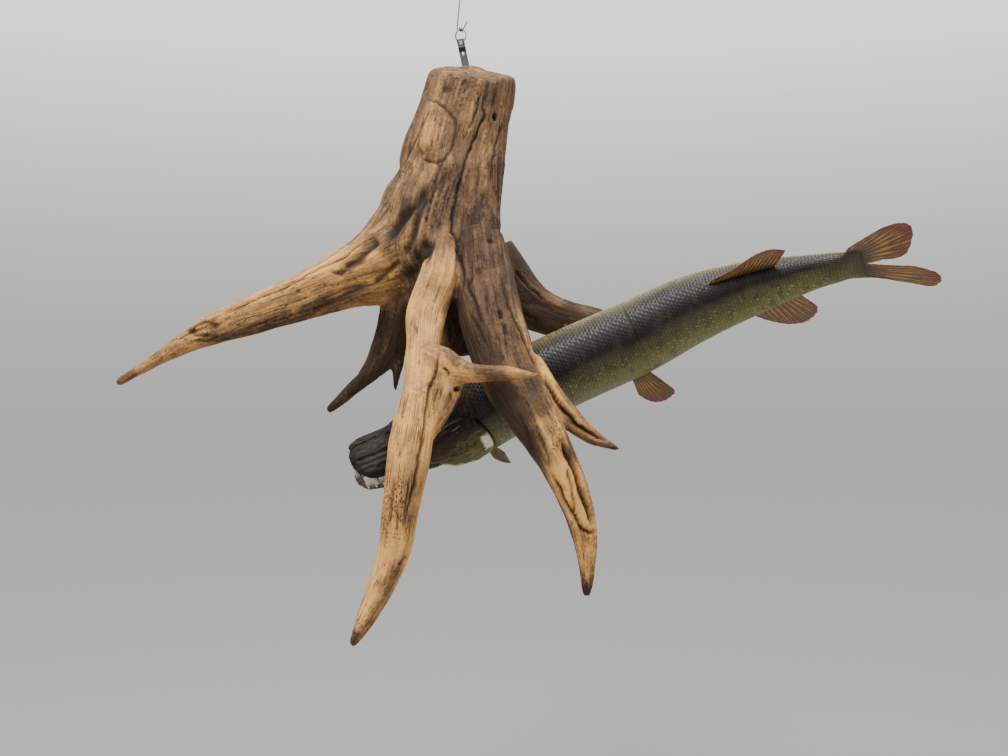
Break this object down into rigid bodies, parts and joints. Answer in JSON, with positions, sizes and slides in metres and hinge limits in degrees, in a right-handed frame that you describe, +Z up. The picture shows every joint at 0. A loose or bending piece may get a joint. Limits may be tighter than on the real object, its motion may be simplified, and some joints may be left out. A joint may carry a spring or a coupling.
{
  "type": "mounted pike",
  "caption": "Stuffed pike with an open mouth, set among the spreading roots of a driftwood stump that hangs on a wall by a steel strap and wire.",
  "frame": {"origin": "on the back face of the hanger strap, in the wall's plane, just above the stump's top", "axes": "+Z up, +Y into the wall, +X to the viewer's right as the fish's tail points"},
  "size_m": [1.101, 0.3348, 0.9006],
  "materials": {
    "driftwood": "weathered, dry, matt",
    "pale_driftwood": "weathered, dry, matt",
    "head_skin": "varnished skin",
    "body_skin": "varnished scaled skin",
    "fin_skin": "varnished fin membrane and rays",
    "eye_glass": "glass eye",
    "mouth_skin": "dried mouth lining",
    "hanger_steel": "dull dark steel",
    "wire_steel": "dull tie wire"
  },
  "bodies": {
    "root": {"stump": "driftwood", "root_left": "pale_driftwood", "root_front_left": "pale_driftwood", "root_front_right": "driftwood", "cross_spur": "driftwood", "root_right_spur": "driftwood", "root_back_right": "driftwood", "root_back_left": "driftwood", "skull": "head_skin", "gill_cover_left": "head_skin", "gill_cover_right": "head_skin", "left_eye": "eye_glass", "right_eye": "eye_glass", "lower_jaw": "head_skin", "tongue": "mouth_skin", "trunk_front": "body_skin", "trunk_middle": "body_skin", "trunk_rear": "body_skin", "tail_stalk": "body_skin", "dorsal_fin": "fin_skin", "anal_fin": "fin_skin", "pelvic_fin_left": "fin_skin", "pelvic_fin_right": "fin_skin", "pectoral_fin_left": "fin_skin", "pectoral_fin_right": "fin_skin", "caudal_fin": "fin_skin", "hanger_strap": "hanger_steel", "hanger_screw_1": "hanger_steel", "hanger_screw_2": "hanger_steel", "wire_loop": "wire_steel", "wire_knot": "wire_steel", "hanging_wire": "wire_steel", "wire_eye": "wire_steel", "fish_screw": "hanger_steel"}
  },
  "joints": []
}
